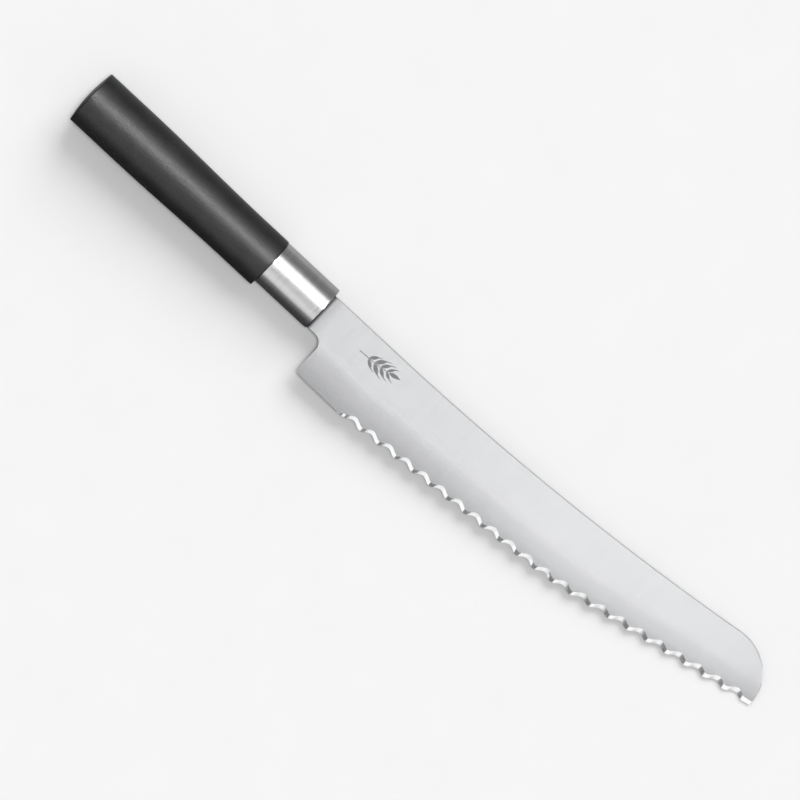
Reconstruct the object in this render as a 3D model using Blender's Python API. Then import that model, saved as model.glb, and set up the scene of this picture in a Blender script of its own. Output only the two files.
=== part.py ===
"""Bread knife: scalloped steel blade with a hidden tang, steel ferrule and moulded plastic handle.

Frame, in metres: the knife lies on its side. +X runs from the butt of the handle to the tip of the
blade, +Y points from the cutting edge towards the spine, and +Z stands out of the ground face of the
blade. The origin is the middle of the length and of the height, at the level of the lowest point.
"""

import math

import bmesh
import bpy

MM = 0.001

# Overall layout
BUTT_X = -184.7 * MM  # furthest point of the domed butt
HANDLE_FRONT_X = -83.1 * MM
FERRULE_FRONT_X = -54.5 * MM
HEEL_X = -45.4 * MM  # back edge of the blade, below the neck
SERRATION_START_X = -19.8 * MM
BLADE_MID_Z = 10.0 * MM  # middle plane of the blade, tang, ferrule and handle
CLEARANCE = 0.3 * MM  # gap between neighbouring pieces

# Handle: an oval grip that narrows smoothly towards the ferrule
HANDLE_CENTRE_Y = 2.36 * MM
GRIP_WIDTH_BUTT = 25.2 * MM
GRIP_WIDTH_FRONT = 23.35 * MM
GRIP_THICKNESS_RATIO = 20.0 / 25.2
GRIP_TAPER_START_X = -158.0 * MM
GRIP_TAPER_END_X = -99.0 * MM
BUTT_DOME_RADIUS = 66.0 * MM  # the butt is a shallow ball-shaped cap
BUTT_RIM_RADIUS = 0.4 * MM
FRONT_RIM_RADIUS = 0.3 * MM

# Ferrule: a deep-drawn oval cup whose closed front has a slot for the neck of the blade
FERRULE_CENTRE_Y = 3.33 * MM
FERRULE_WIDTH = 20.8 * MM
FERRULE_THICKNESS = 17.2 * MM
FERRULE_WALL = 0.8 * MM
FERRULE_FRONT_WALL = 1.2 * MM
FERRULE_EDGE_RADIUS = 0.4 * MM

# Blade outline
BLADE_THICKNESS = 2.0 * MM
SPINE_Y = 10.87 * MM
SPINE_BEND_X = -18.5 * MM  # the spine is straight up to here and then sweeps upwards
SPINE_RADIUS = 1288.0 * MM
TIP_JOIN_X = 161.5 * MM  # the spine's sweep runs into the rounded tip here
TIP_LENGTH = 20.2 * MM  # semi-axes of the rounded tip
TIP_HEIGHT = 18.2 * MM
NECK_BOTTOM_Y = -6.43 * MM
NECK_FILLET_RADIUS = 4.5 * MM
NECK_DEPTH_IN_FERRULE = 1.0 * MM
HEEL_CORNER_RADIUS = 2.0 * MM
HEEL_CORNER_OVERLAP = 0.1 * MM  # how far the heel's corner arc dips below the cutting edge

# Cutting edge: a plain heel, then two nearly straight runs that meet in a soft bend
EDGE_START_Y = -23.6 * MM  # at the start of the serrations
PLAIN_EDGE_SLOPE = -0.013
FIRST_EDGE_SLOPE = 0.0774
SECOND_EDGE_SLOPE = 0.200
EDGE_BEND_X = 91.6 * MM
EDGE_BEND_HALF_LENGTH = 12.0 * MM
PLAIN_EDGE_HALF_BLEND = 2.0 * MM

# Grinding: a convex taper on both faces and scalloped facets on the +Z face
TAPER_WIDTH_HEEL = 18.0 * MM
TAPER_WIDTH_TIP = 12.0 * MM
EDGE_HALF_THICKNESS = 0.23 * MM
SCALLOP_COUNT = 22
SCALLOP_PITCH = 9.09 * MM
SCALLOP_DEPTH = 1.7 * MM
FIRST_VALLEY_X = -14.0 * MM
TOOTH_FACET_ANGLE = math.radians(19.0)
VALLEY_FACET_ANGLE = math.radians(26.0)
FACET_LAND = 0.05 * MM  # blunt strip left under the facets
PLAIN_LAND = 2 * EDGE_HALF_THICKNESS - 0.03 * MM  # the same strip where no facet is ground
FACET_RUN_IN = 1.7 * MM  # length over which the first facet deepens

# Tang
TANG_END_X = -145.0 * MM
TANG_HALF_HEIGHT_ROOT = 5.5 * MM
TANG_HALF_HEIGHT_END = 4.0 * MM
TANG_END_RADIUS = 2.0 * MM
TANG_HOLE_RADIUS = 2.5 * MM
TANG_HOLES_X = (-98.0 * MM, -128.0 * MM)
BOND_THICKNESS = 0.7 * MM
BOND_FRONT_X = -57.5 * MM

# Fineness of the meshes
RING_POINTS = 44
ARC_STEPS = 6
COLUMNS_PER_SCALLOP = 8
TAPER_ROWS = 3
SPINE_POINTS = 26
HOLE_POINTS = 20
CUT_MARGIN = 5.0 * MM  # how far cutting shapes reach past what they cut
FLAT_ANGLE = math.radians(0.02)  # faces closer to parallel than this are one flat


def clear_scene():
    for old in list(bpy.data.objects):
        bpy.data.objects.remove(old, do_unlink=True)


def make_material(name, colour, roughness, metallic):
    material = bpy.data.materials.new(name)
    material.use_nodes = True
    shader = material.node_tree.nodes["Principled BSDF"]
    shader.inputs["Base Color"].default_value = (*colour, 1.0)
    shader.inputs["Roughness"].default_value = roughness
    shader.inputs["Metallic"].default_value = metallic
    material.diffuse_color = (*colour, 1.0)
    return material


def make_object(name, bm, material=None):
    bmesh.ops.recalc_face_normals(bm, faces=bm.faces)
    mesh = bpy.data.meshes.new(name)
    bm.to_mesh(mesh)
    bm.free()
    mesh.shade_smooth()
    mesh.set_sharp_from_angle(angle=math.radians(30))
    if material:
        mesh.materials.append(material)
    obj = bpy.data.objects.new(name, mesh)
    bpy.context.collection.objects.link(obj)
    return obj


def cut(target, cutter, operation="DIFFERENCE"):
    modifier = target.modifiers.new(cutter.name, "BOOLEAN")
    modifier.operation = operation
    modifier.solver = "EXACT"
    modifier.object = cutter
    cutter.hide_render = True
    cutter.display_type = "WIRE"


def smoothstep(value, low, high):
    t = min(max((value - low) / (high - low), 0.0), 1.0)
    return t * t * (3.0 - 2.0 * t)


def soft_corner(distance, half_length):
    """Zero before a corner, distance after it, and a parabola within half_length of it."""
    if distance <= -half_length:
        return 0.0
    if distance >= half_length:
        return distance
    return (distance + half_length) ** 2 / (4.0 * half_length)


def arc(centre_x, centre_y, radius_x, radius_y, start, end, steps):
    """Points from start to end, both in degrees, anticlockwise where end is larger."""
    points = []
    for i in range(steps + 1):
        angle = math.radians(start + (end - start) * i / steps)
        points.append((centre_x + radius_x * math.cos(angle), centre_y + radius_y * math.sin(angle)))
    return points


def extrude_outline(outline, z_low, z_high):
    """A closed prism from an outline in XY."""
    bm = bmesh.new()
    bottom = bm.faces.new([bm.verts.new((x, y, z_low)) for x, y in outline])
    side = bmesh.ops.extrude_face_region(bm, geom=[bottom])
    top = [item for item in side["geom"] if isinstance(item, bmesh.types.BMVert)]
    bmesh.ops.translate(bm, verts=top, vec=(0.0, 0.0, z_high - z_low))
    return bm


def loft_ovals(sections, domed=0):
    """A closed body through oval sections, each (x, centre_y, half_width, half_thickness).

    The first sections, as many as domed, curve back like a ball of radius BUTT_DOME_RADIUS.
    """
    bm = bmesh.new()
    rings = []
    for index, (x, centre_y, half_width, half_thickness) in enumerate(sections):
        ring = []
        for i in range(RING_POINTS):
            angle = 2.0 * math.pi * i / RING_POINTS
            y = half_width * math.cos(angle)
            z = half_thickness * math.sin(angle)
            sweep = (y * y + z * z) / (2.0 * BUTT_DOME_RADIUS) if index < domed else 0.0
            ring.append(bm.verts.new((x + sweep, centre_y + y, BLADE_MID_Z + z)))
        rings.append(ring)
    for ring, following in zip(rings, rings[1:]):
        for i in range(RING_POINTS):
            j = (i + 1) % RING_POINTS
            bm.faces.new((ring[i], ring[j], following[j], following[i]))
    bm.faces.new(rings[0])
    bm.faces.new(rings[-1])
    return bm


# ---------------------------------------------------------------- tang, its bond and its socket


def tang_outline(grow, front_x):
    """Outline of the tang, grown by grow on every side and open towards the blade at front_x."""
    root = TANG_HALF_HEIGHT_ROOT + grow
    end = TANG_HALF_HEIGHT_END + grow
    end_x = TANG_END_X - grow
    radius = TANG_END_RADIUS + grow
    outline = [(front_x, HANDLE_CENTRE_Y + root)]
    outline += arc(end_x + radius, HANDLE_CENTRE_Y + end - radius, radius, radius, 90, 180, ARC_STEPS)
    outline += arc(end_x + radius, HANDLE_CENTRE_Y - end + radius, radius, radius, 180, 270, ARC_STEPS)
    outline.append((front_x, HANDLE_CENTRE_Y - root))
    return outline


def tang_prism(name, grow, front_x):
    """A guide prism round the tang, as deep as the blade is thick plus grow on each face."""
    half_depth = BLADE_THICKNESS / 2 + grow
    bm = extrude_outline(tang_outline(grow, front_x), BLADE_MID_Z - half_depth, BLADE_MID_Z + half_depth)
    return make_object(name, bm)


def hole_pins(name, radius):
    """Round pins through both holes of the tang."""
    bm = bmesh.new()
    for x in TANG_HOLES_X:
        circle = bmesh.ops.create_cone(
            bm, cap_ends=True, segments=HOLE_POINTS, radius1=radius, radius2=radius, depth=CUT_MARGIN * 2
        )
        bmesh.ops.translate(bm, verts=circle["verts"], vec=(x, HANDLE_CENTRE_Y, BLADE_MID_Z))
    return make_object(name, bm)


def make_tang_bond():
    """Epoxy that fills the socket round the tang and keys through the tang's two holes."""
    material = make_material("epoxy_amber", (0.62, 0.50, 0.28), 0.35, 0.0)
    half_depth = BLADE_THICKNESS / 2 + CLEARANCE + BOND_THICKNESS
    outline = tang_outline(CLEARANCE + BOND_THICKNESS, BOND_FRONT_X)
    bm = extrude_outline(outline, BLADE_MID_Z - half_depth, BLADE_MID_Z + half_depth)
    bond = make_object("tang_bond", bm, material)
    core = tang_prism("bond_core", CLEARANCE, BOND_FRONT_X + CUT_MARGIN)
    cut(core, hole_pins("bond_keys", TANG_HOLE_RADIUS - CLEARANCE))
    cut(bond, core)
    return bond


# ---------------------------------------------------------------- blade


def spine_y(x):
    return SPINE_Y + max(0.0, x - SPINE_BEND_X) ** 2 / (2.0 * SPINE_RADIUS)


def edge_line_y(x):
    """Line through the points of the teeth, and the plain edge before them."""
    y = EDGE_START_Y + PLAIN_EDGE_SLOPE * (x - SERRATION_START_X)
    y += (FIRST_EDGE_SLOPE - PLAIN_EDGE_SLOPE) * soft_corner(x - SERRATION_START_X, PLAIN_EDGE_HALF_BLEND)
    y += (SECOND_EDGE_SLOPE - FIRST_EDGE_SLOPE) * soft_corner(x - EDGE_BEND_X, EDGE_BEND_HALF_LENGTH)
    return y


def tip_curve():
    """The rounded tip, from its end back to the spine, tangent to the spine's sweep."""
    slope = (TIP_JOIN_X - SPINE_BEND_X) / SPINE_RADIUS
    join_angle = 90.0 + math.degrees(math.atan(slope * TIP_LENGTH / TIP_HEIGHT))
    centre_x = TIP_JOIN_X - TIP_LENGTH * math.cos(math.radians(join_angle))
    centre_y = spine_y(TIP_JOIN_X) - TIP_HEIGHT * math.sin(math.radians(join_angle))
    return arc(centre_x, centre_y, TIP_LENGTH, TIP_HEIGHT, 0.0, join_angle, 3 * ARC_STEPS)


def blank_outline():
    """The stamped blank: tang, neck, heel, spine and tip, reaching past the cutting edge."""
    neck_back_x = FERRULE_FRONT_X - NECK_DEPTH_IN_FERRULE
    fillet_x = HEEL_X - NECK_FILLET_RADIUS
    fillet_y = NECK_BOTTOM_Y - NECK_FILLET_RADIUS
    corner_x = HEEL_X + HEEL_CORNER_RADIUS
    corner_y = edge_line_y(corner_x) + HEEL_CORNER_RADIUS - HEEL_CORNER_OVERLAP
    below_edge_y = EDGE_START_Y - CUT_MARGIN
    tip = tip_curve()
    outline = tang_outline(0.0, neck_back_x)
    outline.append((neck_back_x, NECK_BOTTOM_Y))
    outline += arc(fillet_x, fillet_y, NECK_FILLET_RADIUS, NECK_FILLET_RADIUS, 90, 0, ARC_STEPS)
    outline += arc(corner_x, corner_y, HEEL_CORNER_RADIUS, HEEL_CORNER_RADIUS, 180, 265, ARC_STEPS)
    outline.append((corner_x, below_edge_y))
    outline.append((tip[0][0], below_edge_y))
    outline += tip
    for i in range(1, SPINE_POINTS):
        x = TIP_JOIN_X + (SPINE_BEND_X - TIP_JOIN_X) * i / (SPINE_POINTS - 1)
        outline.append((x, spine_y(x)))
    outline.append((neck_back_x, SPINE_Y))
    return outline


def scallop_rise(x):
    """How far the cutting edge lies above the line through the teeth."""
    first_tooth = FIRST_VALLEY_X - SCALLOP_PITCH / 2
    last_tooth = first_tooth + SCALLOP_COUNT * SCALLOP_PITCH
    if x <= first_tooth or x >= last_tooth:
        return 0.0
    return SCALLOP_DEPTH / 2 * (1.0 + math.cos(2.0 * math.pi * (x - FIRST_VALLEY_X) / SCALLOP_PITCH))


def taper_width(x):
    return TAPER_WIDTH_HEEL + (TAPER_WIDTH_TIP - TAPER_WIDTH_HEEL) * smoothstep(x, HEEL_X, -BUTT_X)


def half_thickness(x, rise):
    """Half the blade's thickness at a height rise above the line through the teeth."""
    reach = min(rise / taper_width(x), 1.0)
    full = BLADE_THICKNESS / 2
    return EDGE_HALF_THICKNESS + (full - EDGE_HALF_THICKNESS) * (1.0 - (1.0 - reach) ** 2)


def land_height(x):
    """Height of the blunt strip at the very edge: nearly all of it before the facets begin."""
    return PLAIN_LAND + (FACET_LAND - PLAIN_LAND) * smoothstep(
        x, SERRATION_START_X - FACET_RUN_IN / 2, SERRATION_START_X + FACET_RUN_IN / 2
    )


def facet_top(x):
    """Rise at which the ground facet, steeper in the valleys, runs out into the tapered face."""
    low = scallop_rise(x)
    base = half_thickness(x, low) - land_height(x)
    angle = TOOTH_FACET_ANGLE + (VALLEY_FACET_ANGLE - TOOTH_FACET_ANGLE) * low / SCALLOP_DEPTH
    top = low
    for _ in range(12):
        top = low + (half_thickness(x, top) + base) / math.tan(angle)
    return top


def ground_section(x):
    """Outline in YZ of the ground blade at one station, round from the upper +Z corner."""
    line = edge_line_y(x)
    low = scallop_rise(x)
    width = taper_width(x)
    full = BLADE_THICKNESS / 2
    above_spine = spine_y(TIP_JOIN_X) + CUT_MARGIN
    top = facet_top(x)
    upper = [top + (width - top) * (1.0 - i / TAPER_ROWS) for i in range(TAPER_ROWS + 1)]
    lower = [low + (width - low) * i / TAPER_ROWS for i in range(TAPER_ROWS + 1)]
    section = [(above_spine, full)]
    section += [(line + rise, half_thickness(x, rise)) for rise in upper]
    section.append((line + low, land_height(x) - half_thickness(x, low)))
    section += [(line + rise, -half_thickness(x, rise)) for rise in lower]
    section.append((above_spine, -full))
    return section


def grinding_stations():
    """Stations along the blade: few where the edge is plain, evenly spaced over the scallops."""
    first_tooth = FIRST_VALLEY_X - SCALLOP_PITCH / 2
    step = SCALLOP_PITCH / COLUMNS_PER_SCALLOP
    stations = [TANG_END_X - CUT_MARGIN, HEEL_X - NECK_FILLET_RADIUS]
    stations += [SERRATION_START_X - FACET_RUN_IN * share for share in (6.0, 0.5, 0.25)]
    stations += [SERRATION_START_X, SERRATION_START_X + FACET_RUN_IN / 2]
    stations += [first_tooth + step * i for i in range(1, SCALLOP_COUNT * COLUMNS_PER_SCALLOP + 1)]
    stations.append(-BUTT_X + CUT_MARGIN)
    return stations


def ground_envelope():
    """The space left by grinding both faces and the facets; the blank is cut to it."""
    bm = bmesh.new()
    rings = []
    for x in grinding_stations():
        rings.append([bm.verts.new((x, y, BLADE_MID_Z + z)) for y, z in ground_section(x)])
    count = len(rings[0])
    for ring, following in zip(rings, rings[1:]):
        for i in range(count):
            j = (i + 1) % count
            bm.faces.new((ring[i], ring[j], following[j], following[i]))
    bm.faces.new(rings[0])
    bm.faces.new(rings[-1])
    # the flat upper part of each face becomes one polygon
    bmesh.ops.dissolve_limit(bm, angle_limit=FLAT_ANGLE, verts=bm.verts, edges=bm.edges)
    return bm


def make_blade():
    material = make_material("blade_steel", (0.62, 0.63, 0.64), 0.32, 1.0)
    blade = make_object("blade", ground_envelope(), material)
    outline = blank_outline()
    blank = make_object(
        "blade_blank",
        extrude_outline(outline, BLADE_MID_Z - BLADE_THICKNESS, BLADE_MID_Z + BLADE_THICKNESS),
    )
    cut(blade, blank, "INTERSECT")
    cut(blade, hole_pins("tang_hole_cutter", TANG_HOLE_RADIUS))
    return blade


# ---------------------------------------------------------------- ferrule


def make_ferrule():
    material = make_material("ferrule_steel", (0.60, 0.60, 0.60), 0.28, 1.0)
    half_width = FERRULE_WIDTH / 2
    half_depth = FERRULE_THICKNESS / 2
    radius = FERRULE_EDGE_RADIUS
    back_x = HANDLE_FRONT_X + CLEARANCE
    sections = [(back_x, FERRULE_CENTRE_Y, half_width, half_depth)]
    for x, inset in arc(FERRULE_FRONT_X - radius, 0.0, radius, radius, 90, 0, 3):
        shrink = radius - inset
        sections.append((x, FERRULE_CENTRE_Y, half_width - shrink, half_depth - shrink))
    ferrule = make_object("ferrule", loft_ovals(sections), material)

    inside_front_x = FERRULE_FRONT_X - FERRULE_FRONT_WALL
    inner = [
        (back_x - CUT_MARGIN, FERRULE_CENTRE_Y, half_width - FERRULE_WALL, half_depth - FERRULE_WALL),
        (inside_front_x, FERRULE_CENTRE_Y, half_width - FERRULE_WALL, half_depth - FERRULE_WALL),
    ]
    cut(ferrule, make_object("ferrule_cavity", loft_ovals(inner)))

    slot_low = NECK_BOTTOM_Y - CLEARANCE
    slot_high = SPINE_Y + CLEARANCE
    slot_half_depth = BLADE_THICKNESS / 2 + CLEARANCE
    slot_back_x = FERRULE_FRONT_X - 2 * FERRULE_FRONT_WALL
    slot_front_x = FERRULE_FRONT_X + CUT_MARGIN
    slot = [
        (slot_back_x, slot_low), (slot_front_x, slot_low), (slot_front_x, slot_high), (slot_back_x, slot_high)
    ]
    slot_prism = extrude_outline(slot, BLADE_MID_Z - slot_half_depth, BLADE_MID_Z + slot_half_depth)
    cut(ferrule, make_object("ferrule_slot", slot_prism))
    return ferrule


# ---------------------------------------------------------------- handle


def grip_half_width(x):
    narrowing = (GRIP_WIDTH_BUTT - GRIP_WIDTH_FRONT) * smoothstep(x, GRIP_TAPER_START_X, GRIP_TAPER_END_X)
    return (GRIP_WIDTH_BUTT - narrowing) / 2


def grip_section(x, inset):
    """An oval section of the grip, pulled in by inset all round."""
    half_width = grip_half_width(x)
    return (x, HANDLE_CENTRE_Y, half_width - inset, half_width * GRIP_THICKNESS_RATIO - inset)


def butt_sections():
    """The cap of the butt and the small radius round its rim, before the ball's curve is added."""
    half_width = GRIP_WIDTH_BUTT / 2
    radius = BUTT_RIM_RADIUS
    sections = []
    for share in (0.06, 0.35, 0.65, 0.86):
        width = half_width * share
        sections.append((BUTT_X, HANDLE_CENTRE_Y, width, width * GRIP_THICKNESS_RATIO))
    for x, inset in arc(BUTT_X + radius, 0.0, radius, radius, 180, 90, 3):
        sections.append(grip_section(x, radius - inset))
    return sections


def make_handle():
    material = make_material("handle_black", (0.030, 0.030, 0.031), 0.55, 0.0)
    sections = butt_sections()
    domed = len(sections)
    for i in range(9):
        x = GRIP_TAPER_START_X + (GRIP_TAPER_END_X - GRIP_TAPER_START_X) * i / 8
        sections.append(grip_section(x, 0.0))
    for x, inset in arc(HANDLE_FRONT_X - FRONT_RIM_RADIUS, 0.0, FRONT_RIM_RADIUS, FRONT_RIM_RADIUS, 90, 0, 2):
        sections.append(grip_section(x, FRONT_RIM_RADIUS - inset))

    spigot_front_x = FERRULE_FRONT_X - FERRULE_FRONT_WALL - CLEARANCE
    spigot_half_width = FERRULE_WIDTH / 2 - FERRULE_WALL - CLEARANCE
    spigot_half_depth = FERRULE_THICKNESS / 2 - FERRULE_WALL - CLEARANCE
    for x in (HANDLE_FRONT_X, spigot_front_x):
        sections.append((x, FERRULE_CENTRE_Y, spigot_half_width, spigot_half_depth))
    handle = make_object("handle", loft_ovals(sections, domed), material)
    socket_grow = BOND_THICKNESS + 2 * CLEARANCE
    cut(handle, tang_prism("tang_socket", socket_grow, spigot_front_x + CUT_MARGIN))
    return handle


def main():
    clear_scene()
    make_blade()
    make_ferrule()
    make_handle()
    make_tang_bond()


main()
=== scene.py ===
"""Bread knife in a studio: fine blade, ferrule, handle and their surfaces, on a pale floor.

Frame, in metres: +X runs from the butt to the tip, +Y from the cutting edge to the spine, and +Z out
of the blade face that carries the ground facets. The blade is level in this frame. The knife lies
nose-down, on the front of its ferrule and on its tip, so the floor is the tilted one.
"""

import math

import bmesh
import bpy
from mathutils import Matrix, Vector


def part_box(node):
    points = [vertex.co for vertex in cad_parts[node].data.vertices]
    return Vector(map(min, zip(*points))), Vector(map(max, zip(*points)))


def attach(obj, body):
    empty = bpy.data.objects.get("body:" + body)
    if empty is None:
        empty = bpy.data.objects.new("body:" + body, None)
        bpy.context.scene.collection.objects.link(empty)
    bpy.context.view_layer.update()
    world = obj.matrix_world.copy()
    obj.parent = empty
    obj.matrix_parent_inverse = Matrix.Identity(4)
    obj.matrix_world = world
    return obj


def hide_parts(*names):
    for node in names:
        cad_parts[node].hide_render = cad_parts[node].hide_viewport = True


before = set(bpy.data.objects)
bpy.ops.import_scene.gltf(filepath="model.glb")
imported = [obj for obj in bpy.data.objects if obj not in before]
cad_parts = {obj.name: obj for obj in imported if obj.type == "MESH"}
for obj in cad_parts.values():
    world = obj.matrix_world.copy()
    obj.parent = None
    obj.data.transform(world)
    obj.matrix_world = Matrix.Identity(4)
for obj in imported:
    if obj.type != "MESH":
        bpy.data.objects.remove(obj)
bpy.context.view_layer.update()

MM = 0.001
BLADE_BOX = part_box("blade")
FERRULE_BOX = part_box("ferrule")
HANDLE_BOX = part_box("handle")

# Layout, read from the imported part
MID_Z = (BLADE_BOX[0].z + BLADE_BOX[1].z) / 2
BLADE_HALF = (BLADE_BOX[1].z - BLADE_BOX[0].z) / 2
TIP_X = BLADE_BOX[1].x
BUTT_X = HANDLE_BOX[0].x
TANG_END_X = BLADE_BOX[0].x
FERRULE_BACK_X = FERRULE_BOX[0].x
FERRULE_FRONT_X = FERRULE_BOX[1].x
FERRULE_CENTRE_Y = (FERRULE_BOX[0].y + FERRULE_BOX[1].y) / 2
FERRULE_HALF_WIDTH = (FERRULE_BOX[1].y - FERRULE_BOX[0].y) / 2
FERRULE_HALF_DEPTH = (FERRULE_BOX[1].z - FERRULE_BOX[0].z) / 2
HANDLE_CENTRE_Y = (HANDLE_BOX[0].y + HANDLE_BOX[1].y) / 2
GRIP_HALF_WIDTH = (HANDLE_BOX[1].y - HANDLE_BOX[0].y) / 2
GRIP_DEPTH_RATIO = (HANDLE_BOX[1].z - HANDLE_BOX[0].z) / (2 * GRIP_HALF_WIDTH)

# Blade outline, as the part is designed
HEEL_X = -45.4 * MM
SERRATION_START_X = -19.8 * MM
SPINE_Y = 10.87 * MM
SPINE_BEND_X = -18.5 * MM
SPINE_RADIUS = 1288.0 * MM
TIP_JOIN_X = 161.5 * MM
TIP_LENGTH = 20.2 * MM
TIP_HEIGHT = 18.2 * MM
NECK_BOTTOM_Y = -6.43 * MM
NECK_FILLET_RADIUS = 4.5 * MM
NECK_BACK_X = FERRULE_FRONT_X - 1.0 * MM
HEEL_CORNER_RADIUS = 2.0 * MM
HEEL_CORNER_OVERLAP = 0.1 * MM
RIM_RADIUS = 0.25 * MM  # eased corner between the faces and the spine, heel and tip

# Cutting edge and grinding
EDGE_START_Y = -23.6 * MM
PLAIN_EDGE_SLOPE = -0.013
FIRST_EDGE_SLOPE = 0.0774
SECOND_EDGE_SLOPE = 0.200
EDGE_BEND_X = 91.6 * MM
EDGE_BEND_HALF_LENGTH = 12.0 * MM
PLAIN_EDGE_HALF_BLEND = 2.0 * MM
TAPER_WIDTH_HEEL = 18.0 * MM
TAPER_WIDTH_TIP = 12.0 * MM
EDGE_HALF_THICKNESS = 0.23 * MM
SCALLOP_COUNT = 22
SCALLOP_PITCH = 9.09 * MM
SCALLOP_DEPTH = 1.7 * MM
FIRST_VALLEY_X = -14.0 * MM
TOOTH_FACET_ANGLE = math.radians(19.0)
VALLEY_FACET_ANGLE = math.radians(26.0)
FACET_LAND = 0.05 * MM
PLAIN_LAND = 2 * EDGE_HALF_THICKNESS - 0.03 * MM
FACET_RUN_IN = 1.7 * MM
FACET_ZONE = 5.0 * MM  # the facets end well below this height above the teeth
FLATTEST_FACET = math.cos(0.7 * TOOTH_FACET_ANGLE)  # largest Z of a facet's normal
STEEPEST_FACET = 0.5  # least Z of a facet's normal

# Tang and its holes
TANG_HALF_HEIGHT_ROOT = 5.5 * MM
TANG_HALF_HEIGHT_END = 4.0 * MM
TANG_END_RADIUS = 2.0 * MM
TANG_HOLE_RADIUS = 2.5 * MM
TANG_HOLES_X = (-98.0 * MM, -128.0 * MM)
SOCKET_GROW = 1.3 * MM

# Ferrule
FERRULE_WALL = 0.8 * MM
FERRULE_FRONT_WALL = 1.2 * MM
FERRULE_EDGE_RADIUS = 0.4 * MM
FERRULE_BACK_RADIUS = 0.1 * MM
SLEEVE_MARGIN = 0.2 * MM  # from each rounded rim to the sleeve's nearest ring
SLOT_GAP = 0.3 * MM
SEAL_RECESS = 0.12 * MM

# Handle
HANDLE_FRONT_X = FERRULE_BACK_X - 0.3 * MM
GRIP_NARROWING = 0.925 * MM  # loss of half width from butt to front
GRIP_TAPER_START_X = -158.0 * MM
GRIP_TAPER_END_X = -99.0 * MM
BUTT_DOME_RADIUS = 66.0 * MM
BUTT_RIM_RADIUS = 0.4 * MM
FRONT_RIM_RADIUS = 0.3 * MM

# Painted light and shade in the base colour of the blade, standing in for how the studio light falls
# on it; fitted, not a property of the steel
PAINTED_LIGHT_PEAK_X = 80.0 * MM  # where the painted light on the flat of the blade is strongest
PAINTED_TAPER_LIGHT_X = (10.0 * MM, 125.0 * MM)  # where the taper's painted highlight grows from none to full
# Reach of the painted shade on the blade beside the ferrule, and of the painted contact shadow at its
# front
NECK_SHADE_LENGTH = 9.0 * MM
CONTACT_SHADOW_LENGTH = 2.0 * MM
FULL_RIM_TILT = math.cos(math.radians(11.0))  # Z of the normal on a fully eased rim
NO_RIM_TILT = math.cos(math.radians(8.5))

# Wheat ear etched near the heel
EAR_BASE = Vector((-32.0 * MM, 1.4 * MM))
EAR_LENGTH = 16.5 * MM
EAR_BEND = 1.6 * MM
STEM_STEPS = 12
STEM_SHARE = 0.9  # of the ear's length
STEM_OVERLAP = 1.25
STEM_WIDTH = 0.42 * MM
GRAIN_PAIRS = 4
FIRST_GRAIN_SHARE = 0.30
GRAINS_SHARE = 0.55
END_GRAIN_SHARE = 0.93
END_GRAIN_WIDTH = 0.9
GRAIN_LENGTH = 5.4 * MM
GRAIN_WIDTH = 1.9 * MM
GRAIN_LEAN = 40.0
GRAIN_OFFSET = 0.35 * MM
GRAIN_SHRINK = 0.25
LARGEST_GRAIN = 0.7  # 0 at the first pair, 2 at the last
AWN_LENGTH = 2.6 * MM
AWN_WIDTH = 0.34 * MM
AWN_LEAN = 24.0
AWN_OVERLAP = 0.4 * MM
LEAF_SKEW = 0.8  # below 1 the widest place is nearer the root
ETCH_HEIGHT = 0.02 * MM

# Fineness
RING_POINTS = 160
ARC_STEPS = 16
COLUMNS_PER_SCALLOP = 28
TAPER_ROWS = 18
SLEEVE_RINGS = 10
FACET_ROWS = 4
FACET_TOP_ROUNDS = 12  # of the iteration that finds where a facet runs out
RUN_UP_STATIONS = (10.0, 6.0, 3.0, 1.0)  # before the facets begin, in lengths of their run-in
RUN_IN_STEPS = 8
SPINE_STEPS = 89
BLADE_RIM_STEPS = 4
BACK_RIM_STEPS = 4
BUTT_RIM_STEPS = 8
FRONT_RIM_STEPS = 6
BUTT_RINGS = 13
GRIP_RINGS = 40
LEAF_STEPS = 10
HOLE_POINTS = 40
CUT_MARGIN = 5.0 * MM
FLAT_ANGLE = math.radians(0.01)

# Studio. Angles are from straight up, positive towards the spine; leans are towards the butt.
FLOOR_GAP = 0.02 * MM
FLOOR_SIZE = 8.0
TIP_CONTACT_X = TIP_X - 4.0 * MM
KEY_ANGLE = 52.0
KEY_LEAN = 7.0
KEY_SPREAD = 44.0
KEY_STRENGTH = 1.91
TOP_ANGLE = 1.0
TOP_SPREAD = 12.0
TOP_STRENGTH = 0.985
ROOM_RADIANCE = 0.34
CARD_ANGLES = (-28.0, -49.0)
CARD_DISTANCE = 210 * MM
CARD_X = (30 * MM, 160 * MM)
BACKDROP_RADIANCE = 0.92
# What polished surfaces see: (angle, radiance), joined smoothly
REFLECTED_BANDS = (
    (-110.0, 0.06), (-90.0, 0.10), (-68.0, 0.26), (-57.0, 0.95),
    (-44.0, 1.08), (-16.0, 0.80), (-3.0, 1.00), (4.0, 1.4),
    (8.0, 12.0), (16.0, 12.0), (20.0, 1.7), (36.0, 1.6),
    (46.0, 0.40), (62.0, 0.24), (90.0, 0.30), (110.0, 0.50),
)
BRIGHTEST_BAND = 12.0
BOX_END_START = 0.50  # sine of the angle along the knife where the soft boxes start to dim
BOX_END_STOP = 0.85
BOX_END_DIMMING = 0.20
VIEW_WIDTH = 328.25 * MM
VIEW_CENTRE = Vector((-5.75 * MM, -2.32 * MM, MID_Z))
VIEW_TURN = math.radians(43.0)  # of the knife below the picture's horizontal
VIEW_LEAN = math.radians(3.3)  # of the camera towards the butt
LENS = 1000.0
SENSOR = 36.0
CLIP_START = 0.05


# ---------------------------------------------------------------- shapes


def object_from(name, bm):
    bmesh.ops.recalc_face_normals(bm, faces=bm.faces)
    mesh = bpy.data.meshes.new(name)
    bm.to_mesh(mesh)
    bm.free()
    obj = bpy.data.objects.new(name, mesh)
    bpy.context.scene.collection.objects.link(obj)
    return obj


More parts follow.
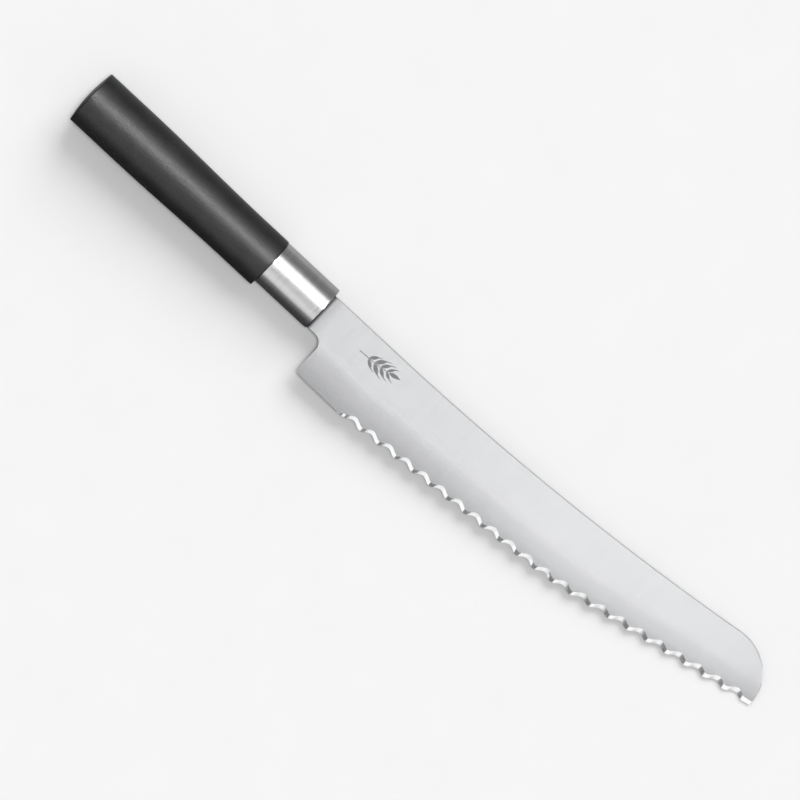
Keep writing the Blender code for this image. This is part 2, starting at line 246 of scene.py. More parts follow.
def combine(target, cutter, operation="DIFFERENCE"):
    """Cut target by cutter, keep the result as its mesh, and remove the cutter."""
    modifier = target.modifiers.new("combine", "BOOLEAN")
    modifier.operation = operation
    modifier.solver = "EXACT"
    modifier.object = cutter
    evaluated = target.evaluated_get(bpy.context.evaluated_depsgraph_get())
    result = bpy.data.meshes.new_from_object(evaluated)
    target.modifiers.clear()
    target.data = result
    bpy.data.objects.remove(cutter, do_unlink=True)


def shade(obj, sharp_degrees):
    """Smooth shading up to an angle; long faces keep their true normals beside small rims."""
    obj.data.shade_smooth()
    obj.data.set_sharp_from_angle(angle=math.radians(sharp_degrees))
    modifier = obj.modifiers.new("even_normals", "WEIGHTED_NORMAL")
    modifier.keep_sharp = True


def smoothstep(value, low, high):
    t = min(max((value - low) / (high - low), 0.0), 1.0)
    return t * t * (3.0 - 2.0 * t)


def evenly(first, last, count):
    """Evenly spaced values from first to last, with count steps between them."""
    return [first + (last - first) * i / count for i in range(count + 1)]


def soft_corner(distance, half_length):
    """Zero before a corner, distance after it, and a parabola within half_length of it."""
    if distance <= -half_length:
        return 0.0
    if distance >= half_length:
        return distance
    return (distance + half_length) ** 2 / (4.0 * half_length)


def arc(centre_x, centre_y, radius_x, radius_y, start, end, steps):
    """Points from start to end, both in degrees, anticlockwise where end is larger."""
    angles = [math.radians(degrees) for degrees in evenly(start, end, steps)]
    return [(centre_x + radius_x * math.cos(a), centre_y + radius_y * math.sin(a)) for a in angles]


def shrunk(outline, inset):
    """A clockwise or anticlockwise outline moved inwards by inset."""
    count = len(outline)
    area = 0.0
    for before, here in zip(outline, outline[1:] + outline[:1]):
        area += before[0] * here[1] - here[0] * before[1]
    turn = 1.0 if area > 0 else -1.0
    moved = []
    for i in range(count):
        before = Vector(outline[i - 1])
        here = Vector(outline[i])
        after = Vector(outline[(i + 1) % count])
        along = (here - before).normalized() + (after - here).normalized()
        inward = Vector((-along.y, along.x)).normalized() * turn
        moved.append(tuple(here + inward * inset))
    return moved


def skin(bm, rings):
    """Faces between rings of equally many vertices, and one across each end."""
    count = len(rings[0])
    for ring, following in zip(rings, rings[1:]):
        for i in range(count):
            j = (i + 1) % count
            bm.faces.new((ring[i], ring[j], following[j], following[i]))
    bm.faces.new(rings[0])
    bm.faces.new(rings[-1])


def stack(layers):
    """A closed body through outlines of equally many points, each (outline, z)."""
    bm = bmesh.new()
    rings = [[bm.verts.new((x, y, z)) for x, y in outline] for outline, z in layers]
    skin(bm, rings)
    return bm


def prism(outline, half_depth):
    return stack([(outline, MID_Z - half_depth), (outline, MID_Z + half_depth)])


def loft_ovals(sections, domed=0):
    """A closed body through oval sections, each (x, centre_y, half_width, half_depth).

    The first sections, as many as domed, curve back like a ball of radius BUTT_DOME_RADIUS.
    """
    bm = bmesh.new()
    rings = []
    for index, (x, centre_y, half_width, half_depth) in enumerate(sections):
        ring = []
        for i in range(RING_POINTS):
            angle = 2.0 * math.pi * i / RING_POINTS
            y = half_width * math.cos(angle)
            z = half_depth * math.sin(angle)
            sweep = (y * y + z * z) / (2.0 * BUTT_DOME_RADIUS) if index < domed else 0.0
            ring.append(bm.verts.new((x + sweep, centre_y + y, MID_Z + z)))
        rings.append(ring)
    skin(bm, rings)
    return bm


# ---------------------------------------------------------------- blade


def tang_outline(grow, front_x):
    root = TANG_HALF_HEIGHT_ROOT + grow
    end = TANG_HALF_HEIGHT_END + grow
    end_x = TANG_END_X - grow
    radius = TANG_END_RADIUS + grow
    outline = [(front_x, HANDLE_CENTRE_Y + root)]
    outline += arc(end_x + radius, HANDLE_CENTRE_Y + end - radius, radius, radius, 90, 180, ARC_STEPS)
    outline += arc(end_x + radius, HANDLE_CENTRE_Y - end + radius, radius, radius, 180, 270, ARC_STEPS)
    outline.append((front_x, HANDLE_CENTRE_Y - root))
    return outline


def spine_y(x):
    return SPINE_Y + max(0.0, x - SPINE_BEND_X) ** 2 / (2.0 * SPINE_RADIUS)


def edge_line_y(x):
    """Line through the points of the teeth, and the plain edge before them."""
    y = EDGE_START_Y + PLAIN_EDGE_SLOPE * (x - SERRATION_START_X)
    first_turn = FIRST_EDGE_SLOPE - PLAIN_EDGE_SLOPE
    second_turn = SECOND_EDGE_SLOPE - FIRST_EDGE_SLOPE
    y += first_turn * soft_corner(x - SERRATION_START_X, PLAIN_EDGE_HALF_BLEND)
    y += second_turn * soft_corner(x - EDGE_BEND_X, EDGE_BEND_HALF_LENGTH)
    return y


def tip_curve():
    """The rounded tip, from its end back to the spine, tangent to the spine's sweep."""
    slope = (TIP_JOIN_X - SPINE_BEND_X) / SPINE_RADIUS
    join_angle = 90.0 + math.degrees(math.atan(slope * TIP_LENGTH / TIP_HEIGHT))
    centre_x = TIP_JOIN_X - TIP_LENGTH * math.cos(math.radians(join_angle))
    centre_y = spine_y(TIP_JOIN_X) - TIP_HEIGHT * math.sin(math.radians(join_angle))
    return arc(centre_x, centre_y, TIP_LENGTH, TIP_HEIGHT, 0.0, join_angle, 3 * ARC_STEPS)


def blank_outline():
    """The stamped blank: tang, neck, heel, spine and tip, reaching past the cutting edge."""
    fillet_x = HEEL_X - NECK_FILLET_RADIUS
    fillet_y = NECK_BOTTOM_Y - NECK_FILLET_RADIUS
    corner_x = HEEL_X + HEEL_CORNER_RADIUS
    corner_y = edge_line_y(corner_x) + HEEL_CORNER_RADIUS - HEEL_CORNER_OVERLAP
    below_edge_y = EDGE_START_Y - CUT_MARGIN
    tip = tip_curve()
    outline = tang_outline(0.0, NECK_BACK_X)
    outline.append((NECK_BACK_X, NECK_BOTTOM_Y))
    outline += arc(fillet_x, fillet_y, NECK_FILLET_RADIUS, NECK_FILLET_RADIUS, 90, 0, ARC_STEPS)
    outline += arc(corner_x, corner_y, HEEL_CORNER_RADIUS, HEEL_CORNER_RADIUS, 180, 265, ARC_STEPS)
    outline.append((corner_x, below_edge_y))
    outline.append((tip[0][0], below_edge_y))
    outline += tip
    outline += [(x, spine_y(x)) for x in evenly(TIP_JOIN_X, SPINE_BEND_X, SPINE_STEPS)[1:]]
    outline.append((NECK_BACK_X, SPINE_Y))
    return outline


def rounded_blank():
    """The blank with eased rims; beyond the faces it narrows further, where grinding removes it."""
    outline = blank_outline()
    beyond = 2.0 * RIM_RADIUS
    layers = [(shrunk(outline, RIM_RADIUS + beyond), -BLADE_HALF - beyond)]
    for degrees in evenly(90.0, 0.0, BLADE_RIM_STEPS):
        angle = math.radians(degrees)
        inset = RIM_RADIUS * (1.0 - math.cos(angle))
        layers.append((shrunk(outline, inset), -BLADE_HALF + RIM_RADIUS * (1.0 - math.sin(angle))))
    layers += [(ring, -z) for ring, z in reversed(layers)]
    return stack([(ring, MID_Z + z) for ring, z in layers])


def scallop_rise(x):
    """How far the cutting edge lies above the line through the teeth."""
    first_tooth = FIRST_VALLEY_X - SCALLOP_PITCH / 2
    last_tooth = first_tooth + SCALLOP_COUNT * SCALLOP_PITCH
    if x <= first_tooth or x >= last_tooth:
        return 0.0
    return SCALLOP_DEPTH / 2 * (1.0 + math.cos(2.0 * math.pi * (x - FIRST_VALLEY_X) / SCALLOP_PITCH))


def taper_width(x):
    return TAPER_WIDTH_HEEL + (TAPER_WIDTH_TIP - TAPER_WIDTH_HEEL) * smoothstep(x, HEEL_X, TIP_X)


def half_thickness(x, rise):
    """Half the blade's thickness at a height rise above the line through the teeth."""
    reach = min(rise / taper_width(x), 1.0)
    return EDGE_HALF_THICKNESS + (BLADE_HALF - EDGE_HALF_THICKNESS) * (1.0 - (1.0 - reach) ** 2)


def land_height(x):
    """Height of the blunt strip at the very edge: nearly all of it before the facets begin."""
    return PLAIN_LAND + (FACET_LAND - PLAIN_LAND) * smoothstep(
        x, SERRATION_START_X - FACET_RUN_IN / 2, SERRATION_START_X + FACET_RUN_IN / 2
    )


def facet_top(x):
    """Rise at which the ground facet, steeper in the valleys, runs out into the tapered face."""
    low = scallop_rise(x)
    base = half_thickness(x, low) - land_height(x)
    angle = TOOTH_FACET_ANGLE + (VALLEY_FACET_ANGLE - TOOTH_FACET_ANGLE) * low / SCALLOP_DEPTH
    top = low
    for _ in range(FACET_TOP_ROUNDS):
        top = low + (half_thickness(x, top) + base) / math.tan(angle)
    return top


def ground_section(x):
    """Outline in YZ of the ground blade at one station, round from the upper +Z corner."""
    line = edge_line_y(x)
    low = scallop_rise(x)
    width = taper_width(x)
    above_spine = spine_y(TIP_JOIN_X) + CUT_MARGIN
    top = facet_top(x)
    foot = (line + low, land_height(x) - half_thickness(x, low))
    upper = evenly(width, top, TAPER_ROWS)
    lower = evenly(low, width, TAPER_ROWS)
    section = [(above_spine, BLADE_HALF)]
    section += [(line + rise, half_thickness(x, rise)) for rise in upper]
    crest = section[-1]
    facet_y = evenly(crest[0], foot[0], FACET_ROWS)
    facet_z = evenly(crest[1], foot[1], FACET_ROWS)
    section += list(zip(facet_y, facet_z))[1:]
    section += [(line + rise, -half_thickness(x, rise)) for rise in lower]
    section.append((above_spine, -BLADE_HALF))
    return section


def grinding_stations():
    """Stations along the blade: few where the edge is plain, evenly spaced over the scallops."""
    first_tooth = FIRST_VALLEY_X - SCALLOP_PITCH / 2
    step = SCALLOP_PITCH / COLUMNS_PER_SCALLOP
    run_in_end = SERRATION_START_X + FACET_RUN_IN / 2
    stations = [TANG_END_X - CUT_MARGIN, HEEL_X - NECK_FILLET_RADIUS]
    stations += [SERRATION_START_X - FACET_RUN_IN * lengths for lengths in RUN_UP_STATIONS]
    stations += evenly(SERRATION_START_X - FACET_RUN_IN / 2, run_in_end, RUN_IN_STEPS)
    stations += [first_tooth + step * i for i in range(1, SCALLOP_COUNT * COLUMNS_PER_SCALLOP + 1)]
    # none just past the run-in, where they would crowd its last one
    crowded_end = run_in_end + FACET_RUN_IN / 2
    tolerance = step / 100.0
    stations = [x for x in stations if x <= run_in_end + tolerance or x > crowded_end]
    stations.append(TIP_X + CUT_MARGIN)
    return sorted(stations)


def ground_envelope():
    bm = bmesh.new()
    rings = []
    for x in grinding_stations():
        rings.append([bm.verts.new((x, y, MID_Z + z)) for y, z in ground_section(x)])
    skin(bm, rings)
    bmesh.ops.dissolve_limit(bm, angle_limit=FLAT_ANGLE, verts=bm.verts, edges=bm.edges)
    return bm


def hole_pins():
    bm = bmesh.new()
    for x in TANG_HOLES_X:
        circle = bmesh.ops.create_cone(
            bm, cap_ends=True, segments=HOLE_POINTS, depth=CUT_MARGIN * 2,
            radius1=TANG_HOLE_RADIUS, radius2=TANG_HOLE_RADIUS,
        )
        bmesh.ops.translate(bm, verts=circle["verts"], vec=(x, HANDLE_CENTRE_Y, MID_Z))
    return bm


def make_blade():
    blade = object_from("blade_fine", ground_envelope())
    combine(blade, object_from("blank", rounded_blank()), "INTERSECT")
    combine(blade, object_from("pins", hole_pins()))
    shade(blade, 8.0)
    blade.data.materials.append(satin_blade_steel())
    blade.data.materials.append(ground_facet_steel())
    for face in blade.data.polygons:
        centre = face.center
        past_start = centre.x > SERRATION_START_X - FACET_RUN_IN
        near_edge = centre.y < edge_line_y(centre.x) + FACET_ZONE
        if past_start and near_edge and STEEPEST_FACET < face.normal.z < FLATTEST_FACET:
            face.material_index = 1
    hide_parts("blade")
    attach(blade, "root")


# ---------------------------------------------------------------- ferrule and seal


def slot_size(gap):
    """Lowest and highest Y and half the depth of a slot round the neck, gap wider all round."""
    high = SPINE_Y + gap
    low = NECK_BOTTOM_Y - gap
    half_depth = BLADE_HALF + gap
    return low, high, half_depth


def box_between(x_low, x_high, y_low, y_high, half_depth):
    outline = [(x_low, y_low), (x_high, y_low), (x_high, y_high), (x_low, y_high)]
    return prism(outline, half_depth)


def make_ferrule():
    """The sleeve with rounded rims, hollowed from the back, with a slot for the neck in front."""
    radius = FERRULE_EDGE_RADIUS
    back_radius = FERRULE_BACK_RADIUS
    sleeve_back_x = FERRULE_BACK_X + back_radius
    sleeve_front_x = FERRULE_FRONT_X - radius
    sections = []
    for x, inset in arc(sleeve_back_x, 0.0, back_radius, back_radius, 180, 90, BACK_RIM_STEPS):
        sections.append((x, inset - back_radius))
    for x in evenly(sleeve_back_x + SLEEVE_MARGIN, sleeve_front_x - SLEEVE_MARGIN, SLEEVE_RINGS):
        sections.append((x, 0.0))
    for x, inset in arc(sleeve_front_x, 0.0, radius, radius, 90, 0, ARC_STEPS // 2):
        sections.append((x, inset - radius))
    ovals = []
    for x, grow in sections:
        ovals.append((x, FERRULE_CENTRE_Y, FERRULE_HALF_WIDTH + grow, FERRULE_HALF_DEPTH + grow))
    ferrule = object_from("ferrule_fine", loft_ovals(ovals))
    inner_width = FERRULE_HALF_WIDTH - FERRULE_WALL
    inner_depth = FERRULE_HALF_DEPTH - FERRULE_WALL
    cavity = [
        (FERRULE_BACK_X - CUT_MARGIN, FERRULE_CENTRE_Y, inner_width, inner_depth),
        (FERRULE_FRONT_X - FERRULE_FRONT_WALL, FERRULE_CENTRE_Y, inner_width, inner_depth),
    ]
    combine(ferrule, object_from("cavity", loft_ovals(cavity)))
    low, high, half_depth = slot_size(SLOT_GAP)
    slot_back_x = FERRULE_FRONT_X - 2 * FERRULE_FRONT_WALL
    slot = box_between(slot_back_x, FERRULE_FRONT_X + CUT_MARGIN, low, high, half_depth)
    combine(ferrule, object_from("slot", slot))
    shade(ferrule, 20.0)
    ferrule.data.materials.append(brushed_ferrule_steel())
    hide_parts("ferrule")
    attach(ferrule, "root")


def make_neck_seal():
    """Sealing compound in the gap between the neck of the blade and the ferrule's slot."""
    back_x = FERRULE_FRONT_X - FERRULE_FRONT_WALL
    front_x = FERRULE_FRONT_X - SEAL_RECESS
    low, high, half_depth = slot_size(SLOT_GAP)
    seal = object_from("neck_seal", box_between(back_x, front_x, low, high, half_depth))
    low, high, half_depth = slot_size(0.0)
    combine(seal, object_from("neck", box_between(back_x - MM, front_x + MM, low, high, half_depth)))
    shade(seal, 30.0)
    seal.data.materials.append(sealing_compound())
    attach(seal, "root")


# ---------------------------------------------------------------- handle


def grip_section(x, inset):
    """An oval section of the grip, pulled in by inset all round."""
    half_width = GRIP_HALF_WIDTH - GRIP_NARROWING * smoothstep(x, GRIP_TAPER_START_X, GRIP_TAPER_END_X)
    return (x, HANDLE_CENTRE_Y, half_width - inset, half_width * GRIP_DEPTH_RATIO - inset)


def butt_sections():
    """The cap of the butt and the small radius round its rim, before the ball's curve is added."""
    radius = BUTT_RIM_RADIUS
    sections = []
    for width in evenly(0.0, GRIP_HALF_WIDTH - radius, BUTT_RINGS)[1:-1]:
        sections.append((BUTT_X, HANDLE_CENTRE_Y, width, width * GRIP_DEPTH_RATIO))
    for x, inset in arc(BUTT_X + radius, 0.0, radius, radius, 180, 90, BUTT_RIM_STEPS):
        sections.append(grip_section(x, radius - inset))
    return sections


def make_handle():
    """The grip with its domed butt and the spigot in the ferrule, with a blind socket for the tang."""
    sections = butt_sections()
    domed = len(sections)
    for x in evenly(GRIP_TAPER_START_X, GRIP_TAPER_END_X, GRIP_RINGS):
        sections.append(grip_section(x, 0.0))
    radius = FRONT_RIM_RADIUS
    for x, inset in arc(HANDLE_FRONT_X - radius, 0.0, radius, radius, 90, 0, FRONT_RIM_STEPS):
        sections.append(grip_section(x, radius - inset))
    spigot_front_x = FERRULE_FRONT_X - FERRULE_FRONT_WALL - SLOT_GAP
    spigot_width = FERRULE_HALF_WIDTH - FERRULE_WALL - SLOT_GAP
    spigot_depth = FERRULE_HALF_DEPTH - FERRULE_WALL - SLOT_GAP
    for x in (HANDLE_FRONT_X, spigot_front_x):
        sections.append((x, FERRULE_CENTRE_Y, spigot_width, spigot_depth))
    handle = object_from("handle_fine", loft_ovals(sections, domed))
    socket = prism(tang_outline(SOCKET_GROW, spigot_front_x + CUT_MARGIN), BLADE_HALF + SOCKET_GROW)
    combine(handle, object_from("socket", socket))
    shade(handle, 25.0)
    handle.data.materials.append(pebbled_plastic())
    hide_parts("handle")
    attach(handle, "root")


# ---------------------------------------------------------------- wheat ear


def ear_line(share):
    """Point on the gently bent stem, and its direction, at a share of its length."""
    point = EAR_BASE + Vector((EAR_LENGTH * share, EAR_BEND * share * share))
    direction = Vector((EAR_LENGTH, 2.0 * EAR_BEND * share)).normalized()
    return point, direction


def add_leaf(bm, root, direction, length, width):
    """A pointed leaf lying on the blade, a hair thicker along its middle."""
    side = Vector((-direction.y, direction.x))
    face_z = MID_Z + BLADE_HALF
    outline = []
    for sign in (1.0, -1.0):
        for i in range(LEAF_STEPS):
            share = i / LEAF_STEPS if sign > 0 else 1.0 - i / LEAF_STEPS
            bulge = math.sin(math.pi * share**LEAF_SKEW) * width / 2
            outline.append(root + direction * (length * share) + side * (bulge * sign))
    rim = [bm.verts.new((p.x, p.y, face_z + 0.2 * ETCH_HEIGHT)) for p in outline]
    foot = [bm.verts.new((p.x, p.y, face_z - ETCH_HEIGHT)) for p in outline]
    middle = root + direction * (length * 0.5)
    crown = bm.verts.new((middle.x, middle.y, face_z + ETCH_HEIGHT))
    for i in range(len(rim)):
        j = (i + 1) % len(rim)
        bm.faces.new((rim[i], rim[j], crown))
        bm.faces.new((rim[j], rim[i], foot[i], foot[j]))
    bm.faces.new(list(reversed(foot)))


def turned(direction, degrees):
    return Matrix.Rotation(math.radians(degrees), 2) @ direction


def make_wheat_ear():
    """A generic ear of wheat: stem, paired grains with awns, and one grain at the end."""
    bm = bmesh.new()
    for i in range(STEM_STEPS):
        start, direction = ear_line(STEM_SHARE * i / STEM_STEPS)
        add_leaf(bm, start, direction, EAR_LENGTH * STEM_OVERLAP / STEM_STEPS, STEM_WIDTH)
    for i in range(GRAIN_PAIRS):
        place = i / (GRAIN_PAIRS - 1)
        root, direction = ear_line(FIRST_GRAIN_SHARE + GRAINS_SHARE * place)
        size = 1.0 - GRAIN_SHRINK * abs(2.0 * place - LARGEST_GRAIN)
        for sign in (1.0, -1.0):
            lean = turned(direction, GRAIN_LEAN * sign)
            add_leaf(bm, root + lean * GRAIN_OFFSET, lean, GRAIN_LENGTH * size, GRAIN_WIDTH * size)
            tip = root + lean * (GRAIN_LENGTH * size)
            awn = turned(direction, AWN_LEAN * sign)
            add_leaf(bm, tip - lean * AWN_OVERLAP, awn, AWN_LENGTH, AWN_WIDTH)
    end, direction = ear_line(END_GRAIN_SHARE)
    add_leaf(bm, end, direction, GRAIN_LENGTH, GRAIN_WIDTH * END_GRAIN_WIDTH)
    ear = object_from("wheat_ear_mark", bm)
    ear.data.materials.append(etched_mark())
    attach(ear, "root")


# ---------------------------------------------------------------- materials


def add(tree, kind, sockets=None, **settings):
    """A new node; sockets gives each input by name, as a value or as another node's output."""
    node = tree.nodes.new(kind)
    for name, value in settings.items():
        setattr(node, name, value)
    for name, value in (sockets or {}).items():
        if isinstance(value, bpy.types.NodeSocket):
            tree.links.new(value, node.inputs[name])
        else:
            node.inputs[name].default_value = value
    return node


def new_material(name, metallic, specular=0.5):
    material = bpy.data.materials.new(name)
    material.use_nodes = True
    tree = material.node_tree
    shader = tree.nodes["Principled BSDF"]
    shader.inputs["Metallic"].default_value = metallic
    shader.inputs["Specular IOR Level"].default_value = specular
    return material, tree, shader


def noise(tree, per_metre, detail=2.0, roughness=0.5):
    """Noise over the object's own coordinates, with per_metre cells to a metre along X, Y and Z."""
    place = add(tree, "ShaderNodeTexCoord").outputs["Object"]
    scaled = add(tree, "ShaderNodeMapping", {"Vector": place, "Scale": per_metre}).outputs["Vector"]
    texture = add(tree, "ShaderNodeTexNoise", {
        "Vector": scaled, "Scale": 1.0, "Detail": detail, "Roughness": roughness,
    })
    return texture.outputs["Fac"]


def remap(tree, value, low, high, to_low, to_high):
    node = add(tree, "ShaderNodeMapRange", {
        "Value": value, "From Min": low, "From Max": high, "To Min": to_low, "To Max": to_high,
    })
    return node.outputs["Result"]


def varied(tree, texture, low, high):
    """From low to high over nearly all of a noise's values."""
    return remap(tree, texture, 0.3, 0.7, low, high)


def total(tree, *values):
    result = values[0]
    for value in values[1:]:
        result = add(tree, "ShaderNodeMath", {0: result, 1: value}, operation="ADD").outputs[0]
    return result


def times(tree, first, second):
    return add(tree, "ShaderNodeMath", {0: first, 1: second}, operation="MULTIPLY").outputs[0]


def tinted(tree, brightness, tint):
    """A colour: tint scaled by brightness."""
    node = add(tree, "ShaderNodeVectorMath", {0: tint, "Scale": brightness}, operation="SCALE")
    return node.outputs["Vector"]


def position(tree, axis):
    place = add(tree, "ShaderNodeTexCoord").outputs["Object"]
    return add(tree, "ShaderNodeSeparateXYZ", {"Vector": place}).outputs[axis]


def absolute(tree, value):
    return add(tree, "ShaderNodeMath", {0: value}, operation="ABSOLUTE").outputs[0]


def bump(tree, height, distance):
    node = add(tree, "ShaderNodeBump", {"Height": height, "Distance": distance, "Strength": 1.0})
    return node.outputs["Normal"]


def dress(tree, shader, brightness, tint, roughness, relief=None, depth=0.0):
    """Give the shader its colour, its roughness and, where there is relief, its bump."""
    tree.links.new(tinted(tree, brightness, tint), shader.inputs["Base Color"])
    tree.links.new(roughness, shader.inputs["Roughness"])
    if relief is not None:
        tree.links.new(bump(tree, relief, depth), shader.inputs["Normal"])


def eased_rim(tree):
    """One on the eased rims and edges, whose normals lean away from the blade's two faces."""
    normal = add(tree, "ShaderNodeNewGeometry").outputs["Normal"]
    facing = add(tree, "ShaderNodeSeparateXYZ", {"Vector": normal}).outputs["Z"]
    return remap(tree, absolute(tree, facing), FULL_RIM_TILT, NO_RIM_TILT, 1.0, 0.0)


def satin_blade_steel():
    """Satin steel with a fine grain across the blade.

    Its base colour carries painted light and shade: painted lightest at one place along the flat and
    where the taper starts, with painted shade towards the heel, the tip, the cutting edge, the eased
    rims and the neck.
    """
    material, tree, shader = new_material("satin_blade_steel", 1.0)
    grain = noise(tree, (1300.0, 70.0, 1300.0), 1.0)
    streaks = noise(tree, (420.0, 35.0, 420.0), 2.0)
    clouds = noise(tree, (110.0, 90.0, 110.0), 3.0)
    height = position(tree, "Z")
    depth = add(tree, "ShaderNodeMath", {0: height, 1: MID_Z}, operation="SUBTRACT").outputs[0]
    thinned = remap(tree, absolute(tree, depth), EDGE_HALF_THICKNESS, BLADE_HALF, 1.0, 0.0)
    down_taper = add(tree, "ShaderNodeMath", {0: thinned}, operation="SQRT").outputs[0]
    ground = remap(tree, down_taper, 0.0, 0.15, 0.0, 1.0)
    well_ground = remap(tree, down_taper, 0.15, 0.60, 0.0, 1.0)
    along = position(tree, "X")
    painted_taper_light = remap(tree, along, PAINTED_TAPER_LIGHT_X[0], PAINTED_TAPER_LIGHT_X[1], 0.0, 0.090)
    painted_neck_shade = remap(tree, along, FERRULE_FRONT_X, FERRULE_FRONT_X + NECK_SHADE_LENGTH, 1.0, 0.0)
    painted_contact_shadow = remap(tree, along, FERRULE_FRONT_X, FERRULE_FRONT_X + CONTACT_SHADOW_LENGTH, 1.0, 0.0)
    brightness = total(
        tree,
        varied(tree, grain, 0.578, 0.586),
        varied(tree, streaks, -0.004, 0.004),
        varied(tree, clouds, -0.005, 0.005),
        # painted shade along the blade: darker towards the heel, past its brightest place, and more at
        # the tip
        remap(tree, along, HEEL_X, PAINTED_LIGHT_PEAK_X, -0.067, 0.0),
        remap(tree, along, PAINTED_LIGHT_PEAK_X, TIP_X, 0.0, -0.022),
        remap(tree, along, TIP_JOIN_X, TIP_X, 0.0, -0.055),
        # painted highlight where the taper starts, growing stronger towards the tip
        times(tree, ground, 0.070),
        times(tree, well_ground, painted_taper_light),
        # painted shade on the eased rims and towards the cutting edge
        times(tree, eased_rim(tree), -0.36),
        remap(tree, down_taper, 0.15, 1.0, 0.0, -0.158),
        # painted shade beside the ferrule and a painted contact shadow along its front
        times(tree, times(tree, painted_neck_shade, painted_neck_shade), -0.20),
        times(tree, painted_contact_shadow, -0.42),
    )
    roughness = total(tree, varied(tree, grain, 0.115, 0.125), times(tree, thinned, 0.02))
    relief = total(tree, grain, times(tree, streaks, 0.6))
    dress(tree, shader, brightness, (0.985, 0.99, 1.01), roughness, relief, 0.0006 * MM)
    return material


def ground_facet_steel():
    """Ground steel with fine wheel marks running up the facets; its brightness, far above the blade's
    steel, is a painted highlight.
    """
    material, tree, shader = new_material("ground_facet_steel", 1.0)
    marks = noise(tree, (1500.0, 300.0, 700.0), 2.0)
    patches = noise(tree, (260.0, 260.0, 260.0), 2.0)
    # painted highlight: base colour far brighter than the blade's steel; the marks and patches are
    # real
    brightness = total(tree, varied(tree, marks, 0.92, 0.99), varied(tree, patches, -0.03, 0.01))
    roughness = varied(tree, marks, 0.12, 0.17)
    dress(tree, shader, brightness, (0.99, 0.995, 1.0), roughness, marks, 0.002 * MM)
    return material


def brushed_ferrule_steel():
    """Satin sleeve brushed round its girth, smoother along its front rim, where painted shade darkens
    it slightly.
    """
    material, tree, shader = new_material("brushed_ferrule_steel", 1.0)
    brushing = noise(tree, (1500.0, 60.0, 60.0), 1.0)
    bands = noise(tree, (700.0, 30.0, 30.0), 2.0)
    along = position(tree, "X")
    front_rim_shade_and_smoothing = remap(tree, along, FERRULE_FRONT_X - 1.2 * MM, FERRULE_FRONT_X - 0.3 * MM, 0.0, 1.0)
    brightness = total(
        tree,
        varied(tree, brushing, 0.575, 0.625),
        varied(tree, bands, -0.012, 0.012),
        # painted shade along the front rim
        times(tree, front_rim_shade_and_smoothing, -0.03),
    )
    roughness = total(tree, varied(tree, brushing, 0.17, 0.22), times(tree, front_rim_shade_and_smoothing, -0.03))
    dress(tree, shader, brightness, (1.0, 1.0, 1.0), roughness, brushing, 0.002 * MM)
    return material


def pebbled_plastic():
    """Matt black moulded plastic: fine pebbling, pale specks, and a butt end rubbed smoother."""
    material, tree, shader = new_material("pebbled_plastic", 0.0, specular=0.55)
    pebbles = noise(tree, (1500.0, 1500.0, 1500.0), 2.0, 0.55)
    dust = noise(tree, (3800.0, 3800.0, 3800.0), 1.0)
    shading = noise(tree, (140.0, 140.0, 140.0), 3.0)
    brightness = total(
        tree,
        remap(tree, pebbles, 0.35, 0.65, 0.007, 0.013),
        remap(tree, dust, 0.66, 0.78, 0.0, 0.06),
        varied(tree, shading, -0.003, 0.003),
    )
    near_butt = remap(tree, position(tree, "X"), BUTT_X + 0.2 * MM, BUTT_X + 2.2 * MM, 1.0, 0.0)
    roughness = total(
        tree,
        remap(tree, pebbles, 0.35, 0.65, 0.42, 0.34),
        varied(tree, shading, -0.02, 0.02),
        times(tree, near_butt, -0.06),
    )
    relief = total(tree, pebbles, times(tree, dust, 0.4))
    dress(tree, shader, brightness, (1.0, 1.0, 1.02), roughness, relief, 0.05 * MM)
    return material


def etched_mark():
    """Dark oxide left by electrolytic etching, slightly uneven."""
    material, tree, shader = new_material("etched_mark", 0.6)
    grit = noise(tree, (2500.0, 2500.0, 2500.0), 3.0)
    brightness = varied(tree, grit, 0.10, 0.19)
    roughness = varied(tree, grit, 0.5, 0.7)
    dress(tree, shader, brightness, (1.0, 1.0, 1.02), roughness, grit, 0.003 * MM)
    return material


def sealing_compound():
    material, tree, shader = new_material("sealing_compound", 0.0)
    grit = noise(tree, (1800.0, 1800.0, 1800.0), 3.0)
    brightness = varied(tree, grit, 0.05, 0.11)
    roughness = varied(tree, grit, 0.45, 0.7)
    dress(tree, shader, brightness, (1.0, 0.98, 0.95), roughness, grit, 0.02 * MM)
    return material


def cured_epoxy():
    material, tree, shader = new_material("cured_epoxy", 0.0)
    clouds = noise(tree, (300.0, 300.0, 300.0), 3.0)
    brightness = varied(tree, clouds, 0.8, 1.0)
    roughness = varied(tree, clouds, 0.25, 0.45)
    dress(tree, shader, brightness, (0.62, 0.50, 0.28), roughness, clouds, 0.05 * MM)
    return material


def dark_card_felt():
    material, tree, shader = new_material("dark_card_felt", 0.0, specular=0.1)
    fibres = noise(tree, (30.0, 30.0, 30.0), 3.0)
    brightness = varied(tree, fibres, 0.20, 0.25)
    roughness = varied(tree, fibres, 0.8, 0.95)
    dress(tree, shader, brightness, (1.0, 1.0, 1.0), roughness)
    return material


def pale_floor_finish():
    material, tree, shader = new_material("pale_floor_finish", 0.0, specular=0.0)
    cloth = noise(tree, (40.0, 40.0, 40.0), 2.0)
    brightness = varied(tree, cloth, 0.895, 0.905)
    roughness = varied(tree, cloth, 0.9, 0.95)
    dress(tree, shader, brightness, (1.0, 1.0, 1.0), roughness)
    return material


# ---------------------------------------------------------------- studio


